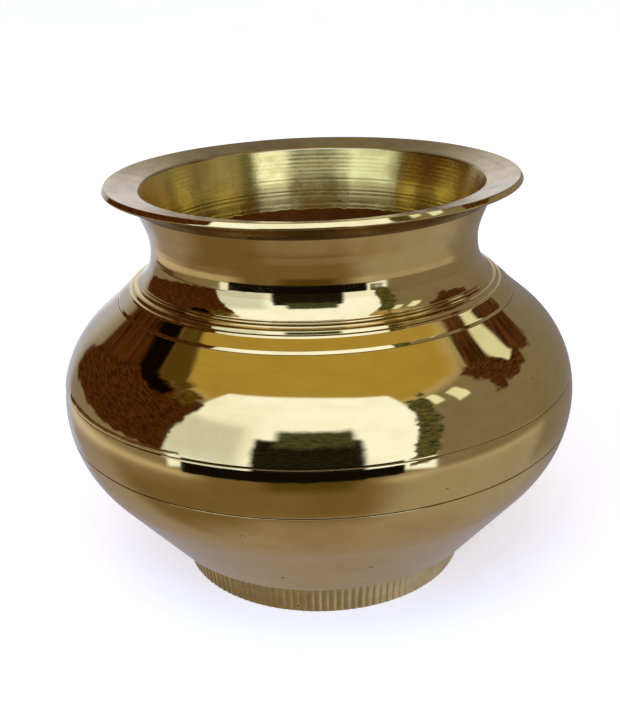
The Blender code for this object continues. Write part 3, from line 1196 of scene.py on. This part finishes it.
@dataclass(frozen=True)
class Surroundings:
    """Softboxes, boards and flags round the pot, seen only in the brass."""

    back: Colour = (0.86, 0.89, 1.02)
    above: Colour = (0.48, 0.40, 0.14)
    below: Colour = (0.35, 0.33, 0.39)
    seen: Colour = (1.0, 1.0, 1.0)
    panels: tuple[Panel, ...] = (
        Panel(-200.0, -110.0, 22.0, 60.0, (0.23, 0.21, 0.16), 6.0),
        Panel(110.0, 200.0, 22.0, 60.0, (0.23, 0.21, 0.16), 6.0),
        Panel(-150.0, 150.0, -15.0, 48.0, (0.27, 0.26, 0.27), 4.0),
        Panel(35.0, 130.0, -55.0, -12.0, (0.40, 0.41, 0.50), 14.0),
        Panel(110.0, 176.0, -32.0, -8.0, (0.26, 0.25, 0.27), 6.0),
        Panel(-55.0, 28.0, -54.0, -6.0, (0.21, 0.17, 0.11), 11.0),
        Panel(-105.0, -45.0, -62.0, -22.0, (0.20, 0.165, 0.11), 12.0),
        Panel(-24.0, 14.0, -24.0, -10.0, (0.10, 0.078, 0.02), 6.0),
        Panel(-66.0, 48.0, -4.0, 67.5, (1.22, 1.60, 3.00), 1.6, bow=9.0),
        Panel(-72.0, -34.0, -4.0, 34.0, (0.82, 1.12, 2.00), 5.0),
        Panel(50.0, 166.0, -14.0, 36.0, (0.245, 0.235, 0.25), 3.0),
        Panel(-140.0, -68.0, -4.0, 44.0, (0.11, 0.042, 0.016), 1.2, 0.10, 0.0, 2.0, (0.03, 0.009, 0.003)),
        Panel(-125.0, -88.0, 35.0, 43.0, (0.004, 0.002, 0.001), 1.0, 0.0, 0.0, 2.0),
        Panel(-112.0, -84.0, 43.0, 52.0, (0.10, 0.07, 0.02), 2.0, 0.0, 0.0, 3.0),
        Panel(-84.0, -70.0, 38.0, 50.0, (0.05, 0.035, 0.01), 2.0, 0.0, 0.0, 4.0, (0.16, 0.11, 0.03)),
        Panel(-160.0, -143.0, -30.0, 20.0, (0.50, 0.56, 0.80), 6.0),
        Panel(-29.0, 18.0, -14.0, 24.0, (0.022, 0.026, 0.020), 1.8, 0.0, 0.0, 1.0, (0.006, 0.007, 0.006)),
        Panel(-20.0, 15.0, 18.0, 33.5, (0.10, 0.14, 0.11), 2.6, 0.0, 0.0, 1.0, (0.03, 0.04, 0.03)),
        Panel(-60.0, 34.0, -14.0, -3.0, (0.006, 0.006, 0.006), 0.8, 0.0, 0.03, 0.6),
        Panel(-140.0, -60.0, -9.0, -7.3, (0.10, 0.045, 0.02), 0.6, 0.0, 0.16, 0.8),
        Panel(38.0, 50.0, -6.0, 50.0, (0.02, 0.03, 0.02), 1.2, 0.25, 0.0, 3.4, (0.16, 0.18, 0.11)),
        Panel(61.0, 67.0, 38.0, 46.0, (1.0, 1.3, 1.8), 1.0, 0.0, 0.0, 1.0),
        Panel(72.0, 80.0, 33.0, 43.0, (1.0, 1.3, 1.8), 1.0, 0.0, 0.0, 1.0),
        Panel(92.0, 138.0, 21.0, 47.0, (0.13, 0.055, 0.028), 1.6, 0.0, 0.0, 4.0, (0.03, 0.015, 0.008)),
        Panel(114.0, 122.0, 29.0, 40.0, (0.85, 1.05, 1.35), 1.0, 0.0, 0.0, 1.0),
    )

    def build(self) -> None:
        """Make the world that holds the panels."""
        world = bpy.data.worlds.new("studio_surroundings")
        world.use_nodes = True
        bpy.context.scene.world = world
        graph = Graph(world.node_tree)
        towards = graph.node("ShaderNodeTexCoord").outputs["Generated"]
        x, y, z = graph.node("ShaderNodeSeparateXYZ", {0: towards}).outputs
        azimuth = graph.math("DEGREES", graph.math("ARCTAN2", x, graph.math("MULTIPLY", y, -1.0)))
        elevation = graph.math("DEGREES", graph.math("ARCSINE", z))
        raised = graph.math("MULTIPLY", elevation, 0.9)
        weave = graph.node("ShaderNodeCombineXYZ", {
            0: graph.math("MULTIPLY", azimuth, 0.22),
            1: graph.math("ADD", raised, graph.math("MULTIPLY", azimuth, 0.12)),
        })
        speckle = graph.step(graph.noise(weave.outputs[0], 1.0, 3.0, 0.7), 0.35, 0.65)
        sky = Sky(azimuth, elevation, graph.noise(towards, 9.0, 4.0), speckle)
        colour = graph.mix(graph.step(elevation, 42.0, 54.0), self.back, self.above)
        colour = graph.mix(graph.step(elevation, -24.0, -14.0), self.below, colour)
        for panel in self.panels:
            colour = self.lay(graph, panel, colour, sky)
        sight = graph.node("ShaderNodeLightPath").outputs["Is Camera Ray"]
        colour = graph.mix(sight, colour, self.seen)
        background = world.node_tree.nodes["Background"]
        graph.feed(background.inputs["Color"], colour)

    def lay(self, graph: Graph, panel: Panel, under: Socket, sky: Sky) -> Socket:
        """Lay one panel over what is already there.

        Args:
            graph: The world's nodes.
            panel: The panel.
            under: Colour of what is there.
            sky: The direction and the noises.

        Returns:
            The colour with the panel laid over it.
        """
        shift = graph.math("MULTIPLY", graph.math("SUBTRACT", sky.blur, 0.5), panel.wobble * 4.0)
        lean = graph.math("MULTIPLY", sky.elevation, panel.lean)
        slope = graph.math("MULTIPLY", sky.azimuth, panel.slope)
        across = graph.math("ADD", graph.math("SUBTRACT", sky.azimuth, lean), shift)
        up = graph.math("ADD", graph.math("SUBTRACT", sky.elevation, slope), shift)
        middle = (panel.left + panel.right) / 2.0
        height = (panel.low + panel.high) / 2.0 - panel.slope * middle
        half_width = (panel.right - panel.left) / 2.0
        half_height = (panel.high - panel.low) / 2.0
        beside = graph.math("ABSOLUTE", graph.math("SUBTRACT", across, middle))
        if panel.bow:
            droop = graph.math("POWER", graph.math("DIVIDE", beside, half_width), 2.0)
            up = graph.math("ADD", up, graph.math("MULTIPLY", droop, panel.bow))
        above = graph.math("ABSOLUTE", graph.math("SUBTRACT", up, height))
        inside = graph.math("MULTIPLY", *(
            graph.step(distance, half - panel.soft, half + panel.soft, 1.0, 0.0)
            for distance, half in ((beside, half_width), (above, half_height))
        ))
        face = panel.colour
        if panel.mottle:
            face = graph.mix(sky.speckle, panel.colour, panel.mottle)
        return graph.mix(inside, under, face)


@dataclass(frozen=True)
class Studio:
    """Pale floor and a soft light over it."""

    floor_size: float = 12.0
    floor_colour: Colour = (0.90, 0.865, 0.83)
    lift: float = 0.62

    def build(self) -> None:
        """Make the floor and the light."""
        build = bmesh.new()
        bmesh.ops.create_grid(build, x_segments=24, y_segments=24, size=self.floor_size / 2.0)
        floor = make_object("studio_floor", build, [self.paper()])
        floor.visible_glossy = False
        floor.visible_shadow = False
        data = bpy.data.lights.new("soft_light", "AREA")
        data.shape = "DISK"
        data.size = 1.2
        data.energy = 4.0
        data.color = (1.0, 0.98, 0.95)
        light = bpy.data.objects.new("soft_light", data)
        light.location = (-0.3, -0.5, 1.4)
        light.rotation_euler = (-light.location).to_track_quat("-Z", "Y").to_euler()
        light.visible_glossy = False
        bpy.context.scene.collection.objects.link(light)

    def paper(self) -> bpy.types.Material:
        """Pale paper that glows a little, so that the shadow on it stays soft."""
        material = bpy.data.materials.new("pale_paper")
        material.use_nodes = True
        graph = Graph(material.node_tree)
        shader = material.node_tree.nodes["Principled BSDF"]
        shader.inputs["Roughness"].default_value = 0.9
        shader.inputs["Specular IOR Level"].default_value = 0.0
        shader.inputs["Emission Strength"].default_value = self.lift
        tone = graph.step(graph.noise(graph.place(), 3.0), 0.2, 0.8, 0.97, 1.0)
        tint = graph.node("ShaderNodeVectorMath", {0: self.floor_colour, 1: tone}, operation="MULTIPLY")
        graph.feed(shader.inputs["Base Color"], tint.outputs[0])
        graph.feed(shader.inputs["Emission Color"], tint.outputs[0])
        return material


@dataclass(frozen=True)
class PotCamera:
    """Camera close in front of the pot, looking slightly down."""

    distance: float = 259.3
    height: float = 151.75
    focal: float = 54.07
    pitch: float = 21.32
    yaw: float = 0.44
    roll: float = -2.05

    def build(self) -> None:
        """Make the camera and give it to the scene."""
        data = bpy.data.cameras.new("pot_camera")
        data.lens = self.focal
        data.sensor_width = 36.0
        data.clip_start = 0.01
        data.clip_end = 50.0
        camera = bpy.data.objects.new("pot_camera", data)
        bpy.context.scene.collection.objects.link(camera)
        yaw = math.radians(self.yaw)
        pitch = math.radians(self.pitch)
        ahead = math.cos(pitch)
        forward = Vector((-math.sin(yaw) * ahead, math.cos(yaw) * ahead, -math.sin(pitch)))
        side = forward.cross(AXIS).normalized()
        up = side.cross(forward)
        roll = math.radians(self.roll)
        right = side * math.cos(roll) + up * math.sin(roll)
        top = up * math.cos(roll) - side * math.sin(roll)
        turn = Matrix((right, top, -forward)).transposed().to_4x4()
        camera.matrix_world = Matrix.Translation((0.0, -self.distance * MM, self.height * MM)) @ turn
        bpy.context.scene.camera = camera


# ---------------------------------------------------------------- the pot


def braze_beads(belly: Belly) -> list[BrazeBead]:
    """Lay a bead across the gap at the end of each tongue, and one inside the foot.

    Args:
        belly: The belly that the beads lie in.

    Returns:
        The four beads.
    """
    half = 1.25
    leg = 1.2
    face = belly.inside - 0.3
    crown = face - 0.7
    middle = belly.collar_seam - belly.tongue_length - 0.15
    places = {"neck_braze": (
        belly.shoulder(face, middle + half),
        belly.shoulder(crown, middle),
        belly.shoulder(face, middle - half),
    )}
    for side, name in ((Curve.UPPER, "upper_belly_braze"), (Curve.LOWER, "lower_belly_braze")):
        at = belly.seam_angle(side) + side.value * belly.degrees(side, belly.tongue_length)
        spread = side.value * belly.degrees(side, half)
        places[name] = (
            belly.wall(side, face, at + spread),
            belly.wall(side, crown, at),
            belly.wall(side, face, at - spread),
        )
    corner = (32.8, 7.7)
    places["foot_braze"] = ((corner[0], corner[1] - leg), corner, (corner[0] - leg, corner[1]))
    return [
        BrazeBead(name, "braze_metal", belly, start=start, crown=top, end=end)
        for name, (start, top, end) in places.items()
    ]


def main() -> None:
    """Build the pot, piece by piece, then the studio and camera."""
    logging.basicConfig(level=logging.INFO)
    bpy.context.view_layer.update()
    belly = Belly()
    effects = Effects(turned_lines(), tarnish_clouds(), casting_specks_and_pinhole_shade())
    finishes = {zone: finish.build(effects) for zone, finish in FINISHES.items()}
    pieces = [
        RimNeckCollar("rim_neck_collar", "brushed_brass", belly),
        ShoulderShell("shoulder_shell", "polished_brass", belly),
        BellyGirdle("belly_girdle", "polished_brass", belly),
        LowerBowl("lower_bowl", "polished_brass", belly),
        FootRing("foot_ring", "matte_brass", belly),
        *braze_beads(belly),
    ]
    for piece in pieces:
        piece.build(finishes)
    Surroundings().build()
    Studio().build()
    PotCamera().build()
    bpy.context.scene.view_settings.view_transform = "Standard"


if __name__ == "__main__":
    main()
